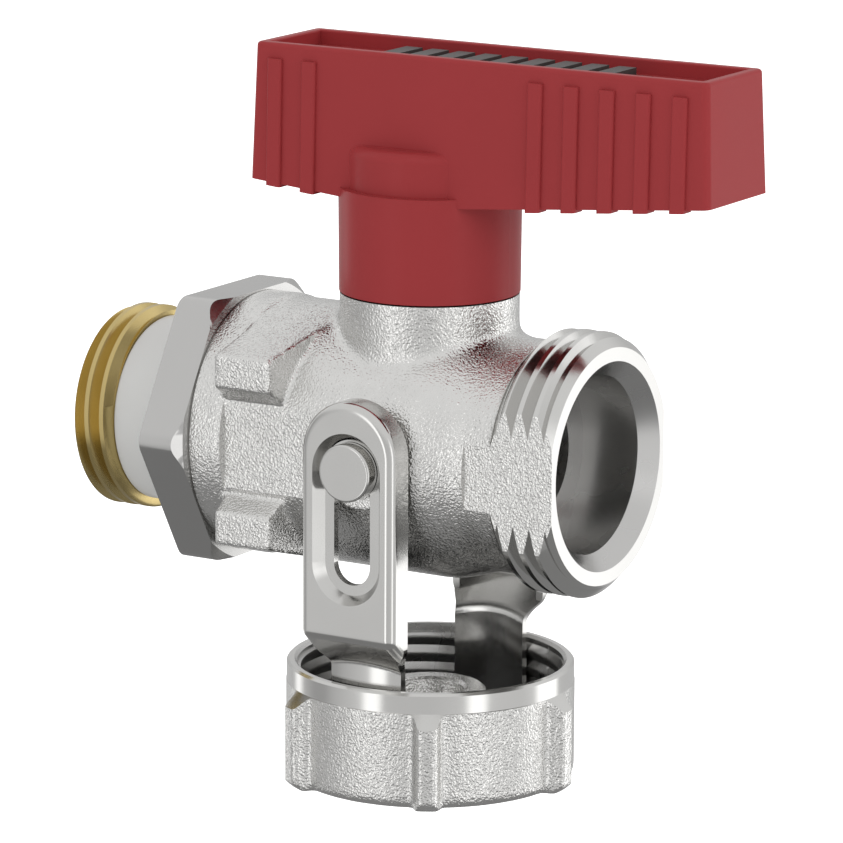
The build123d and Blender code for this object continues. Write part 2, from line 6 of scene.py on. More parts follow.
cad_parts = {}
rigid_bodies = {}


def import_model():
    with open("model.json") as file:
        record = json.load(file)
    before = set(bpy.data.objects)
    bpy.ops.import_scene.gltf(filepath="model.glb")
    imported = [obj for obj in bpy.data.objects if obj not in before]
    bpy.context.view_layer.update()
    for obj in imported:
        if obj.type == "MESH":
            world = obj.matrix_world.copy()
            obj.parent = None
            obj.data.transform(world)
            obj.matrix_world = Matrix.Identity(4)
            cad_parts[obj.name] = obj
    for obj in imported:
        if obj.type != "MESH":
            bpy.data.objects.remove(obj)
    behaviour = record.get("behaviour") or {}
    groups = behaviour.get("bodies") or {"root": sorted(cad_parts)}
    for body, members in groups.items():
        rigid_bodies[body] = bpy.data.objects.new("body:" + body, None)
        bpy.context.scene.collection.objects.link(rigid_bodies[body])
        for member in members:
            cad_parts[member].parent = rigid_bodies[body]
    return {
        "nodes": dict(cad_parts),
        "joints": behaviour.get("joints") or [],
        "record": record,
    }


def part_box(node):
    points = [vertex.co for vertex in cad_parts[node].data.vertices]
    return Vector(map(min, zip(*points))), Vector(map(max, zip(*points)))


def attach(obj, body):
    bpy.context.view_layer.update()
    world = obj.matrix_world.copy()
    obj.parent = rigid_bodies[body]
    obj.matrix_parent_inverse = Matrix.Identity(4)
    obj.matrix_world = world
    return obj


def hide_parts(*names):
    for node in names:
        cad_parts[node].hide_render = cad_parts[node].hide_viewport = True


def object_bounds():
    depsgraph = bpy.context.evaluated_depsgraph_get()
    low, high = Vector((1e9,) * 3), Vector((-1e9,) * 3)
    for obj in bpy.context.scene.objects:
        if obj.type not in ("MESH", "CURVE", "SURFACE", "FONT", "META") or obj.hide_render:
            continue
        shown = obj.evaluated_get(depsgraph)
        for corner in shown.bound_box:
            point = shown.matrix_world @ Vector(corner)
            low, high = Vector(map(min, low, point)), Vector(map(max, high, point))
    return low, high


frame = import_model()
cadBox = [list(corner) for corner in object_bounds()]
nodes = frame["nodes"]
mm = 0.001

# Places that the joints give: the stem's axis and the bracket pins' axis
jointPlaces = {j["name"]: j.get("pos_m") for j in frame["joints"]}
stemX = jointPlaces["handle_turn"][0]
pinX = jointPlaces["bracket_swing"][0]
stemMm = stemX / mm
weld = 0.0005 * mm
largeFace = 1.2 * mm * mm  # a face this large is shaded flat
smoothAngle = math.radians(30)


def boxMm(node):
    return [[round(v / mm, 3) for v in corner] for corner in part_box(node)]


bodyLow, bodyHigh = boxMm("valve_body")
capLow, capHigh = boxMm("cap")

cameraView = {
    "azimuth": 31.196,
    "elevation": 12.359,
    "roll": 0.267,
    "distance": 536.8 * mm,
    "aimRight": -0.77 * mm,
    "aimUp": 2.13 * mm,
    "lens": 228.66,
    "sensor": 36,
    "clip": (0.01, 50),
}

studio = {
    "floorDrop": 52 * mm,      # from the cap's underside down to the floor
    "floorSize": 6.0,
    "floorGrey": (0.85, 0.85, 0.85, 1),
    "floorGlow": 0.85,
    "ambient": 0.62,
    "sky": 0.88,
    "skyRise": (0.10, 0.55),       # from the bands to the plain sky, as the view's Z
    "ground": 0.27,
    "groundFall": (-0.42, -0.60),  # and down to the plain ground
    "lampSize": 0.9,
}

# Each lamp's place from the stem in metres, and its power
lamps = {
    "keyLamp": ((0.25, -0.9, 0.9), 3.2),
    "fillLamp": ((-1.0, -0.5, 0.5), 1.2),
    "backLamp": ((0.6, 0.9, 0.7), 1.8),
    "sideLamp": ((1.1, -0.1, 0.35), 2.3),
}

# Bright and dark bands round the horizon, as degrees from +X, each with its level
horizonBands = [
    (-180, 0.62), (-165, 0.45), (-153, 0.45), (-143, 0.60), (-125, 0.74),
    (-116, 0.80), (-112, 1.7), (-101, 1.7), (-97, 0.70), (-60, 0.70),
    (-31, 0.78), (-27, 1.7), (-15, 1.7), (-11, 0.80), (20, 0.76),
    (33, 0.85), (38, 1.8), (60, 1.8), (66, 0.7), (110, 0.55),
    (160, 0.6), (168, 1.5), (172, 1.5), (180, 0.62),
]


def deselectAll():
    if bpy.context.object and bpy.context.object.mode != "OBJECT":
        bpy.ops.object.mode_set(mode="OBJECT")
    bpy.ops.object.select_all(action="DESELECT")


def addNode(tree, kind, place, **inputs):
    node = tree.nodes.new(kind)
    node.location = (place[0] * 200, -place[1] * 160)
    for name, value in inputs.items():
        setattr(node, name, value)
    return node


def link(tree, source, target):
    tree.links.new(source, target)


def mathNode(tree, place, operation, first, second):
    node = addNode(tree, "ShaderNodeMath", place, operation=operation)
    for index, value in enumerate((first, second)):
        if isinstance(value, (int, float)):
            node.inputs[index].default_value = value
        else:
            link(tree, value, node.inputs[index])
    return node.outputs[0]


def newGroup(name, inputs, outputs):
    group = bpy.data.node_groups.new(name, "ShaderNodeTree")
    for label, kind, value in inputs:
        made = group.interface.new_socket(name=label, in_out="INPUT", socket_type=kind)
        if value is not None:
            made.default_value = value
    for label, kind in outputs:
        group.interface.new_socket(name=label, in_out="OUTPUT", socket_type=kind)
    return group, addNode(group, "NodeGroupInput", (0, 0)), addNode(group, "NodeGroupOutput", (8, 0))


nickel = {
    "grainSize": 0.205 * mm,
    "grainDepth": 0.085 * mm,
    "grainDetail": 1.0,
    "grainRoughness": 0.45,
    "grainDistortion": 0.2,
    "cellScale": 0.8,     # of the grain's own scale
    "patchScale": 0.12,
    "light": (0.76, 0.755, 0.74),
    "dark": (0.68, 0.675, 0.66),
    "roughness": (0.12, 0.19),
}

# Span of a noise that carries from one end of a range to the other, and the scales of the noises
wear = {"noiseSpan": (0.3, 0.7), "metalPatches": 180.0, "plasticPatches": 90.0, "detail": 3.0}


# Fine leathery skin that a forging die leaves
def makeForgedGrain():
    group, given, result = newGroup(
        "forgedGrain",
        [("Position", "NodeSocketVector", None), ("Grain Size", "NodeSocketFloat", 0.3 * mm),
         ("Spread", "NodeSocketFloat", 0.5)],
        [("Height", "NodeSocketFloat"), ("Shade", "NodeSocketFloat")])
    scale = mathNode(group, (1, 1), "DIVIDE", 1.0, given.outputs["Grain Size"])
    fine = addNode(group, "ShaderNodeTexNoise", (2, 0))
    fine.inputs["Detail"].default_value = nickel["grainDetail"]
    fine.inputs["Roughness"].default_value = nickel["grainRoughness"]
    fine.inputs["Distortion"].default_value = nickel["grainDistortion"]
    link(group, given.outputs["Position"], fine.inputs["Vector"])
    link(group, scale, fine.inputs["Scale"])
    cells = addNode(group, "ShaderNodeTexVoronoi", (2, 2), feature="SMOOTH_F1")
    link(group, given.outputs["Position"], cells.inputs["Vector"])
    link(group, mathNode(group, (1, 2), "MULTIPLY", scale, nickel["cellScale"]), cells.inputs["Scale"])
    patches = addNode(group, "ShaderNodeTexNoise", (2, 4))
    link(group, given.outputs["Position"], patches.inputs["Vector"])
    link(group, mathNode(group, (1, 4), "MULTIPLY", scale, nickel["patchScale"]), patches.inputs["Scale"])
    ground = mathNode(group, (3, 1), "MULTIPLY", cells.outputs["Distance"], given.outputs["Spread"])
    height = mathNode(group, (4, 0), "ADD", fine.outputs["Fac"], ground)
    link(group, height, result.inputs["Height"])
    link(group, patches.outputs["Fac"], result.inputs["Shade"])
    return group


# Faint rings or lines that a cutting tool or a polishing belt leaves
def makeToolMarks():
    group, given, result = newGroup(
        "toolMarks",
        [("Along", "NodeSocketFloat", 0.0), ("Spacing", "NodeSocketFloat", 0.05 * mm)],
        [("Height", "NodeSocketFloat")])
    lines = addNode(group, "ShaderNodeTexNoise", (2, 0), noise_dimensions="1D")
    lines.inputs["Detail"].default_value = wear["detail"]
    link(group, mathNode(group, (1, 0), "DIVIDE", given.outputs["Along"], given.outputs["Spacing"]),
         lines.inputs["W"])
    lines.inputs["Scale"].default_value = 1.0
    link(group, lines.outputs["Fac"], result.inputs["Height"])
    return group


forgedGrain = makeForgedGrain()
toolMarks = makeToolMarks()


def newMaterial(name):
    material = bpy.data.materials.get(name) or bpy.data.materials.new(name)
    material.use_nodes = True
    tree = material.node_tree
    tree.nodes.clear()
    out = addNode(tree, "ShaderNodeOutputMaterial", (9, 0))
    shader = addNode(tree, "ShaderNodeBsdfPrincipled", (7, 0))
    link(tree, shader.outputs[0], out.inputs["Surface"])
    place = addNode(tree, "ShaderNodeTexCoord", (0, 0))
    return material, tree, shader, place.outputs["Object"]


def addBump(tree, shader, height, depth):
    bump = addNode(tree, "ShaderNodeBump", (6, 3))
    bump.inputs["Strength"].default_value = 1.0
    bump.inputs["Distance"].default_value = depth
    link(tree, height, bump.inputs["Height"])
    link(tree, bump.outputs["Normal"], shader.inputs["Normal"])


def varied(tree, place, factor, low, high):
    ramp = addNode(tree, "ShaderNodeMapRange", place)
    ramp.inputs["From Min"].default_value, ramp.inputs["From Max"].default_value = wear["noiseSpan"]
    ramp.inputs["To Min"].default_value = low
    ramp.inputs["To Max"].default_value = high
    link(tree, factor, ramp.inputs["Value"])
    return ramp.outputs["Result"]


def mixedColor(tree, place, factor, first, second):
    mix = addNode(tree, "ShaderNodeMix", place, data_type="RGBA")
    mix.inputs["A"].default_value = (*first, 1)
    mix.inputs["B"].default_value = (*second, 1)
    link(tree, factor, mix.inputs["Factor"])
    return mix.outputs["Result"]


def forgedNickel():
    material, tree, shader, position = newMaterial("forged_nickel")
    grain = addNode(tree, "ShaderNodeGroup", (2, 1), node_tree=forgedGrain)
    grain.inputs["Grain Size"].default_value = nickel["grainSize"]
    link(tree, position, grain.inputs["Position"])
    link(tree, mixedColor(tree, (4, 0), grain.outputs["Shade"], nickel["dark"], nickel["light"]),
         shader.inputs["Base Color"])
    link(tree, varied(tree, (4, 2), grain.outputs["Shade"], *nickel["roughness"]),
         shader.inputs["Roughness"])
    shader.inputs["Metallic"].default_value = 1.0
    addBump(tree, shader, grain.outputs["Height"], nickel["grainDepth"])
    return material


def satinMetal(name, light, dark, roughness, axis, spacing, depth):
    material, tree, shader, position = newMaterial(name)
    split = addNode(tree, "ShaderNodeSeparateXYZ", (1, 0))
    link(tree, position, split.inputs[0])
    marks = addNode(tree, "ShaderNodeGroup", (3, 2), node_tree=toolMarks)
    link(tree, split.outputs[axis], marks.inputs["Along"])
    marks.inputs["Spacing"].default_value = spacing
    patches = addNode(tree, "ShaderNodeTexNoise", (2, 0))
    patches.inputs["Scale"].default_value = wear["metalPatches"]
    link(tree, position, patches.inputs["Vector"])
    link(tree, mixedColor(tree, (4, 0), patches.outputs["Fac"], dark, light), shader.inputs["Base Color"])
    link(tree, varied(tree, (4, 2), patches.outputs["Fac"], *roughness), shader.inputs["Roughness"])
    shader.inputs["Metallic"].default_value = 1.0
    addBump(tree, shader, marks.outputs["Height"], depth)
    return material


def plainSurface(name, light, dark, roughness, grainSize, depth, specular=0.5):
    material, tree, shader, position = newMaterial(name)
    shader.inputs["Specular IOR Level"].default_value = specular
    grain = addNode(tree, "ShaderNodeTexNoise", (2, 1))
    grain.inputs["Scale"].default_value = 1.0 / grainSize
    grain.inputs["Detail"].default_value = wear["detail"]
    link(tree, position, grain.inputs["Vector"])
    patches = addNode(tree, "ShaderNodeTexNoise", (2, 3))
    patches.inputs["Scale"].default_value = wear["plasticPatches"]
    link(tree, position, patches.inputs["Vector"])
    link(tree, mixedColor(tree, (4, 0), patches.outputs["Fac"], dark, light), shader.inputs["Base Color"])
    link(tree, varied(tree, (4, 2), patches.outputs["Fac"], *roughness), shader.inputs["Roughness"])
    addBump(tree, shader, grain.outputs["Fac"], depth)
    return material


finishes = {
    "forged_nickel": forgedNickel(),
    "turned_nickel": satinMetal("turned_nickel", (0.57, 0.565, 0.555), (0.53, 0.525, 0.515),
                                (0.20, 0.27), "X", 0.04 * mm, 0.0006 * mm),
    "plain_brass": satinMetal("plain_brass", (0.62, 0.49, 0.23), (0.54, 0.42, 0.17),
                              (0.20, 0.27), "X", 0.04 * mm, 0.0006 * mm),
    "polished_chrome": satinMetal("polished_chrome", (0.74, 0.74, 0.75), (0.70, 0.70, 0.71),
                                  (0.05, 0.08), "X", 0.03 * mm, 0.0002 * mm),
    "bracket_steel": satinMetal("bracket_steel", (0.64, 0.635, 0.62), (0.60, 0.595, 0.58),
                                (0.11, 0.17), "Z", 0.05 * mm, 0.0003 * mm),
    "white_ptfe": plainSurface("white_ptfe", (0.71, 0.71, 0.695), (0.66, 0.66, 0.645),
                               (0.30, 0.42), 0.1 * mm, 0.002 * mm),
    "red_plastic": plainSurface("red_plastic", (0.370, 0.045, 0.049), (0.337, 0.041, 0.044),
                                (0.28, 0.38), 0.12 * mm, 0.004 * mm, specular=0.10),
    "grey_plastic": plainSurface("grey_plastic", (0.062, 0.058, 0.056), (0.042, 0.038, 0.037),
                                 (0.35, 0.5), 0.12 * mm, 0.006 * mm, specular=0.35),
    "black_rubber": plainSurface("black_rubber", (0.028, 0.028, 0.028), (0.018, 0.018, 0.018),
                                 (0.5, 0.65), 0.1 * mm, 0.006 * mm),
}

# The forgings' machined faces, and their bores: a rougher copy of the same nickel whose darker base colour is
# painted shade inside the bores
machinedNickel = satinMetal("machined_nickel", (0.66, 0.655, 0.64), (0.62, 0.615, 0.60),
                            (0.12, 0.17), "X", 0.05 * mm, 0.0004 * mm)
boredNickelWithShade = satinMetal("bored_nickel_with_shade", (0.60, 0.595, 0.585), (0.55, 0.545, 0.535),
                         (0.24, 0.31), "X", 0.06 * mm, 0.0012 * mm)


# Modelling by hand: profiles that are spun, tools that cut, and edges that are softened
def selectOnly(piece):
    deselectAll()
    piece.select_set(True)
    bpy.context.view_layer.objects.active = piece


def applyModifier(piece, kind, **settings):
    selectOnly(piece)
    modifier = piece.modifiers.new(kind.lower(), kind)
    for name, value in settings.items():
        setattr(modifier, name, value)
    bpy.ops.object.modifier_apply(modifier=modifier.name)


def startPoint(name, place):
    deselectAll()
    bpy.ops.mesh.primitive_circle_add(vertices=3, radius=mm, location=place)
    piece = bpy.context.object
    piece.name = name
    bpy.ops.object.transform_apply(location=True)
    bpy.ops.object.mode_set(mode="EDIT")
    bpy.ops.mesh.select_all(action="SELECT")
    bpy.ops.mesh.merge(type="CENTER")
    return piece


def drawLine(name, points):
    piece = startPoint(name, points[0])
    for start, end in zip(points, points[1:]):
        bpy.ops.mesh.extrude_vertices_move(TRANSFORM_OT_translate={"value": Vector(end) - Vector(start)})
    return piece


def cleanMesh():
    bpy.ops.mesh.select_all(action="SELECT")
    bpy.ops.mesh.remove_doubles(threshold=weld)
    bpy.ops.mesh.dissolve_degenerate(threshold=weld)
    bpy.ops.mesh.select_all(action="SELECT")
    bpy.ops.mesh.normals_make_consistent(inside=False)
    bpy.ops.object.mode_set(mode="OBJECT")


# A profile of (place along the axis, radius) in millimetres, spun about an axis through centre
def turned(name, profile, axis="X", centre=(0, 0, 0), sides=192):
    along = Vector({"X": (1, 0, 0), "Y": (0, 1, 0), "Z": (0, 0, 1)}[axis])
    out = Vector((1, 0, 0) if axis == "Z" else (0, 0, 1))
    centre = Vector(centre)
    points = [centre + along * (a * mm) + out * (r * mm) for a, r in profile]
    piece = drawLine(name, points + [points[0]])
    bpy.ops.mesh.select_all(action="SELECT")
    bpy.ops.mesh.spin(steps=sides, angle=2 * math.pi, center=centre, axis=along)
    cleanMesh()
    return piece


def arc(centre, radius, start, end, steps):
    angles = [math.radians(start + (end - start) * i / steps) for i in range(steps + 1)]
    return [(centre[0] + radius * math.cos(a), centre[1] + radius * math.sin(a)) for a in angles]


# An outline in millimetres, pushed along an axis from one level to another
def pushed(name, outline, axis, low, high, centre=(0, 0, 0)):
    spread = {"X": lambda a, b, c: (c, a, b), "Z": lambda a, b, c: (a, b, c)}[axis]
    centre = Vector(centre)
    points = [centre + Vector(spread(a, b, low)) * mm for a, b in outline]
    piece = drawLine(name, points + [points[0]])
    bpy.ops.mesh.select_all(action="SELECT")
    bpy.ops.mesh.remove_doubles(threshold=weld)
    bpy.ops.mesh.edge_face_add()
    step = Vector(spread(0, 0, high - low)) * mm
    bpy.ops.mesh.extrude_region_move(TRANSFORM_OT_translate={"value": step})
    cleanMesh()
    return piece


def block(name, low, high):
    deselectAll()
    middle = [(a + b) / 2 * mm for a, b in zip(low, high)]
    size = [(b - a) * mm for a, b in zip(low, high)]
    bpy.ops.mesh.primitive_cube_add(size=1, location=middle, scale=size)
    bpy.ops.object.transform_apply(location=True, scale=True)
    bpy.context.object.name = name
    return bpy.context.object


# Cuts off what lies on the normal's side of a plane, and closes the cut
def sliced(piece, place, normal):
    selectOnly(piece)
    bpy.ops.object.mode_set(mode="EDIT")
    bpy.ops.mesh.select_all(action="SELECT")
    bpy.ops.mesh.bisect(plane_co=[v * mm for v in place], plane_no=normal, use_fill=True, clear_outer=True)
    bpy.ops.object.mode_set(mode="OBJECT")
    return piece


def combine(piece, tool, operation):
    applyModifier(piece, "BOOLEAN", operation=operation, object=tool, solver="EXACT",
                  material_mode="TRANSFER")
    bpy.data.objects.remove(tool)
    return piece


# Names, gives materials to and shades a finished piece, hides the CAD nodes it replaces and hangs it on its
# body
def dress(piece, name, *nodesReplaced, body, slotName, materials=None, weighted=False):
    piece.name = name
    for material in materials or [finishes[slotName]]:
        if material.name not in [m.name for m in piece.data.materials if m]:
            piece.data.materials.append(material)
    selectOnly(piece)
    bpy.ops.object.shade_smooth_by_angle(angle=smoothAngle)
    for face in piece.data.polygons:
        if face.area > largeFace:
            face.use_smooth = False
    if weighted:
        applyModifier(piece, "WEIGHTED_NORMAL", mode="FACE_AREA_WITH_ANGLE", keep_sharp=True)
    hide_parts(*nodesReplaced)
    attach(piece, body)
    print(name + ":", len(piece.data.polygons), "faces")


# Smooths only where near() says, to round an inner corner as a forging die does
def fillCorner(piece, near, passes):
    group = piece.vertex_groups.new(name="corner")
    for vertex in piece.data.vertices:
        weight = near(vertex.co)
        if weight > 0:
            group.add([vertex.index], weight, "REPLACE")
    applyModifier(piece, "SMOOTH", factor=0.5, iterations=passes, vertex_group="corner")
    piece.vertex_groups.clear()


# One thread: a ridge wound round a core, to be trimmed by the shape that turning leaves
threadForm = {
    "pitch": 1.814, "depth": 1.162, "land": 0.50, "bury": 0.4, "gap": 0.012, "spare": 0.12, "root": 0.05,
    "steps": 120,
}


def woundRidge(name, crestR, crestX, turns, depth=None, inward=False):
    form = threadForm
    side = -1 if inward else 1
    depth = depth or form["depth"]
    half = form["pitch"] / 2 - form["gap"]
    spare = form["spare"]
    tipHalf = form["land"] / 2 - spare * (half - form["land"] / 2) / depth
    rootR, tipR = crestR - side * depth, crestR + side * spare
    section = [(-half, rootR - side * form["bury"]), (-half, rootR), (-tipHalf, tipR), (tipHalf, tipR),
               (half, rootR), (half, rootR - side * form["bury"])]
    points = [Vector((x * mm, r * mm, 0)) for x, r in section]
    piece = drawLine(name, points + [points[0]])
    bpy.ops.mesh.select_all(action="SELECT")
    bpy.ops.mesh.remove_doubles(threshold=weld)
    bpy.ops.object.mode_set(mode="OBJECT")
    applyModifier(piece, "SCREW", axis="X", angle=2 * math.pi, screw_offset=form["pitch"] * mm,
                  iterations=turns, steps=form["steps"], render_steps=form["steps"],
                  use_merge_vertices=True, use_normal_calculate=True)
    bpy.ops.object.mode_set(mode="EDIT")
    bpy.ops.mesh.select_all(action="DESELECT")
    bpy.ops.mesh.select_non_manifold(extend=False)
    bpy.ops.mesh.edge_face_add()
    bpy.ops.mesh.select_all(action="SELECT")
    bpy.ops.transform.translate(value=(crestX * mm, 0, 0))
    cleanMesh()
    return piece


def painted(piece, material):
    piece.data.materials.clear()
    piece.data.materials.append(material)
    return piece


def joined(pieces):
    deselectAll()
    for piece in pieces:
        piece.select_set(True)
    bpy.context.view_layer.objects.active = pieces[0]
    bpy.ops.object.join()
    return pieces[0]


# Forged body: cast skin first, then the thread, faces and bores cut into it as on a lathe
forging = {
    "collar": (13.35, 3.85), "barrelR": 13.10, "throatR": 11.75, "throatX": 10.77, "taper": 6.40,
    "drumR": 14.2, "drumX": 13.9, "step": 0.5, "spare": 0.6, "taperSteps": 8,
    "neckR": 9.0, "neckTop": 15.50, "bossR": 4.2, "bossY": 14.05, "flatY": 11.27,
    "lugX": (-16.40, -9.90), "lugFront": 14.30, "lugLean": 15.6, "lugLowZ": 6.35, "lugUnder": 35.0,
    "lugSink": 2.5, "lugCut": 3, "lugDraft": 9.0,
    "sideFlatX": (-16.50, -4.60), "sideFlatY": 12.40, "sideFlatZ": 4.60, "collarEdge": 0.15,
    "voxel": 0.25, "smoothing": 5, "filletPasses": 60, "filletReach": 2.6, "filletLowZ": 6, "filletRise": 0.7,
    "threadCrestR": 13.22, "threadStartX": 13.75, "crestX": 14.42, "turns": 5,
    "chamferR": 11.85, "chamferX": 19.28,
    "socket": (10.90, 9.65), "roomR": 9.70, "roomX": 8.70, "portR": 6.0,
    "counterbore": (8.95, 7.95), "mouth": (10.47, 1.70),
    "stemBoreR": 3.56, "flangeR": 4.80, "flangeTop": 11.60, "pinBoreR": 2.06, "pinBoreY": 11.45,
    "spigotR": 6.2, "stops": ((217.0, 28.0), (53.0, 28.0)), "stopR": 7.25, "stopTop": 21.0, "sink": 1,
}

# How far the tools that cut the body run past it
bodyTools = {
    "outerR": 24, "past": 3, "backPast": 3.5, "collarRun": 0.6,
    "flatEndX": 6, "flatY": 24, "flatZ": 20, "sideY": 16,
    "ringR": (11.0, 22), "ringPast": 0.8, "coreR": 8, "coreLow": 1, "corePast": 2, "shapeR": 9, "shapeLow": 2,
    "mouthPast": 1.0, "stemTop": 24, "neckOuterR": 12,
}


def lugOutline(sideY, sideZ):
    lean = math.radians(forging["lugLean"])
    touchY, touchZ = forging["barrelR"] * math.sin(lean), forging["barrelR"] * math.cos(lean)
    front = forging["lugFront"]
    highZ = touchZ - (front - touchY) * math.tan(lean)
    innerY = forging["barrelR"] - forging["lugSink"]
    innerZ = forging["lugLowZ"] - (front - innerY) * math.tan(math.radians(forging["lugUnder"]))
    outline = [(1, 1), (touchY, touchZ), (front, highZ), (front, forging["lugLowZ"]), (innerY, innerZ)]
    return [(sideY * y, sideZ * z) for y, z in outline]


# How near a point is to the corner between neck and barrel, from 0 to 1
def neckCorner(point):
    x, y, z = (point.x - stemX) / mm, point.y / mm, point.z / mm
    if z < forging["filletLowZ"]:
        return 0
    offNeck = abs(math.hypot(x, y) - forging["neckR"])
    onBarrel = x < forging["throatX"] - forging["taper"]
    barrelR = forging["barrelR"] if onBarrel else forging["throatR"] + forging["filletRise"]
    offBarrel = abs(math.hypot(y, z) - barrelR)
    return max(0.0, 1 - (offNeck + offBarrel) / forging["filletReach"])


def castBlock():
    f = forging
    backX, faceX = bodyLow[0] - stemMm - f["spare"], bodyHigh[0] - stemMm + f["spare"]
    collarR, collarWidth = f["collar"]
    taperX = f["throatX"] - f["taper"]
    taper = []
    for index in range(f["taperSteps"] + 1):
        part = index / f["taperSteps"]
        eased = 3 * part ** 2 - 2 * part ** 3
        taper.append((taperX + f["taper"] * part, f["barrelR"] + (f["throatR"] - f["barrelR"]) * eased))
    collarX = bodyLow[0] - stemMm + collarWidth
    profile = [(backX, 0), (backX, collarR), (collarX - f["step"], collarR), (collarX, f["barrelR"])] + taper \
        + [(f["drumX"], f["throatR"]), (f["drumX"] + f["step"], f["drumR"]), (faceX, f["drumR"]), (faceX, 0)]
    centre = (stemX, 0, 0)
    pieces = [turned("castBarrel", profile, "X", centre, 144)]
    neckEnd = f["neckTop"] + f["spare"]
    neck = [(0, 0), (0, f["neckR"]), (neckEnd, f["neckR"]), (neckEnd, 0)]
    pieces.append(turned("castNeck", neck, "Z", centre, 96))
    boss = [(-f["bossY"], 0), (-f["bossY"], f["bossR"]), (f["bossY"], f["bossR"]), (f["bossY"], 0)]
    pieces.append(turned("castBosses", boss, "Y", (pinX, 0, 0), 72))
    lugBack, lugEnd = f["lugX"]
    slope = math.tan(math.radians(f["lugDraft"]))
    for sideY in (-1, 1):
        for sideZ in (-1, 1):
            lug = pushed("castLug", lugOutline(sideY, sideZ), "X", lugBack, lugEnd + f["lugCut"], centre)
            pieces.append(sliced(lug, (stemMm + lugEnd, sideY * f["lugFront"], 0), (1, sideY * slope, 0)))
    body = joined(pieces)
    applyModifier(body, "REMESH", mode="VOXEL", voxel_size=f["voxel"] * mm, adaptivity=0.0)
    fillCorner(body, neckCorner, f["filletPasses"])
    applyModifier(body, "SMOOTH", factor=0.5, iterations=f["smoothing"])
    return body


# The two flats across the outlet's thread, and the flats of the barrel's sides between its lugs
def flatTools():
    f, b = forging, bodyTools
    tools = []
    startX, endX = f["sideFlatX"]
    for side in (-1, 1):
        low, high = sorted((side * f["flatY"], side * b["flatY"]))
        tools.append(block("flatTool", (stemMm + f["throatX"], low, -b["flatZ"]),
                           (bodyHigh[0] + b["flatEndX"], high, b["flatZ"])))
        low, high = sorted((side * f["sideFlatY"], side * b["sideY"]))
        tools.append(block("sideFlatTool", (stemMm + startX, low, -f["sideFlatZ"]),
                           (stemMm + endX, high, f["sideFlatZ"])))
    return joined(tools)


# What a thread cutter takes away: a ring less the thread that stays
def threadTool():
    f, b = forging, bodyTools
    startX, faceX = f["threadStartX"], bodyHigh[0] - stemMm
    centre = (stemX, 0, 0)
    ringX = faceX + b["ringPast"]
    innerR, outerR = b["ringR"]
    ring = turned("threadTool", [(startX, innerR), (startX, outerR), (ringX, outerR), (ringX, innerR)],
                  "X", centre)
    rootR = f["threadCrestR"] - threadForm["depth"] + threadForm["root"]
    lowX, highX = startX - b["coreLow"], faceX + b["corePast"]
    core = turned("threadCore", [(lowX, b["coreR"]), (lowX, rootR), (highX, rootR), (highX, b["coreR"])],
                  "X", centre)
    ridge = woundRidge("threadRidge", f["threadCrestR"], stemMm + f["crestX"] - threadForm["pitch"], f["turns"])
    combine(ridge, core, "UNION")
    run = f["threadCrestR"] - f["throatR"]
    lowX, highX = startX - b["shapeLow"], 2 * faceX - f["chamferX"]
    shape = turned("threadShape", [(lowX, b["shapeR"]), (lowX, f["throatR"]), (startX, f["throatR"]),
                                   (startX + run, f["threadCrestR"]), (f["chamferX"], f["threadCrestR"]),
                                   (highX, 2 * f["chamferR"] - f["threadCrestR"]), (highX, b["shapeR"])],
                   "X", centre)
    combine(ridge, shape, "INTERSECT")
    return combine(ring, ridge, "DIFFERENCE")


# Waterway, stem bore and pin bores
def boreTool():
    f, b = forging, bodyTools
    backX, faceX = bodyLow[0] - stemMm, bodyHigh[0] - stemMm
    centre = (stemX, 0, 0)
    socketR, socketDepth = f["socket"]
    counterR, counterDepth = f["counterbore"]
    mouthR, mouthDepth = f["mouth"]
    lipX = faceX + b["mouthPast"]
    lipR = mouthR + b["mouthPast"] * (mouthR - counterR) / mouthDepth
    startX, roomStartX, counterX = backX - b["past"], backX + socketDepth, faceX - counterDepth
    tool = turned("boreTool", [(startX, 0), (startX, socketR), (roomStartX, socketR), (roomStartX, f["roomR"]),
                               (f["roomX"], f["roomR"]), (f["roomX"], f["portR"]), (counterX, f["portR"]),
                               (counterX, counterR), (faceX - mouthDepth, counterR), (lipX, lipR), (lipX, 0)],
                  "X", centre)
    stem = turned("stemTool", [(0, 0), (0, f["flangeR"]), (f["flangeTop"], f["flangeR"]),
                               (f["flangeTop"], f["stemBoreR"]), (b["stemTop"], f["stemBoreR"]),
                               (b["stemTop"], 0)], "Z", centre, 96)
    combine(tool, stem, "UNION")
    for side in (-1, 1):
        low, high = sorted((side * f["pinBoreY"], side * b["sideY"]))
        pin = turned("pinTool", [(low, 0), (low, f["pinBoreR"]), (high, f["pinBoreR"]), (high, 0)], "Y",
                     (pinX, 0, 0), 64)
        combine(tool, pin, "UNION")
    return tool


# Lathe cuts on both ends of the body: the outlet's face, and the collar's back with its edge broken
def faceTools():
    f, b = forging, bodyTools
    backX, faceX = bodyLow[0] - stemMm, bodyHigh[0] - stemMm
    collarR, edge = f["collar"][0], f["collarEdge"]
    centre = (stemX, 0, 0)
    frontX, endX = faceX + b["past"], backX - b["backPast"]
    front = turned("frontTool", [(faceX, 0), (faceX, b["outerR"]), (frontX, b["outerR"]), (frontX, 0)],
                   "X", centre)
    back = turned("backTool", [(endX, 0), (endX, b["outerR"]), (backX + edge + b["collarRun"], b["outerR"]),
                               (backX + edge, collarR), (backX, collarR - edge), (backX, 0)], "X", centre)
    return combine(front, back, "UNION")


def neckTool():
    low, outer = forging["neckTop"], bodyTools["neckOuterR"]
    high = low + bodyTools["past"]
    return turned("neckTool", [(low, 0), (low, outer), (high, outer), (high, 0)], "Z", (stemX, 0, 0), 96)


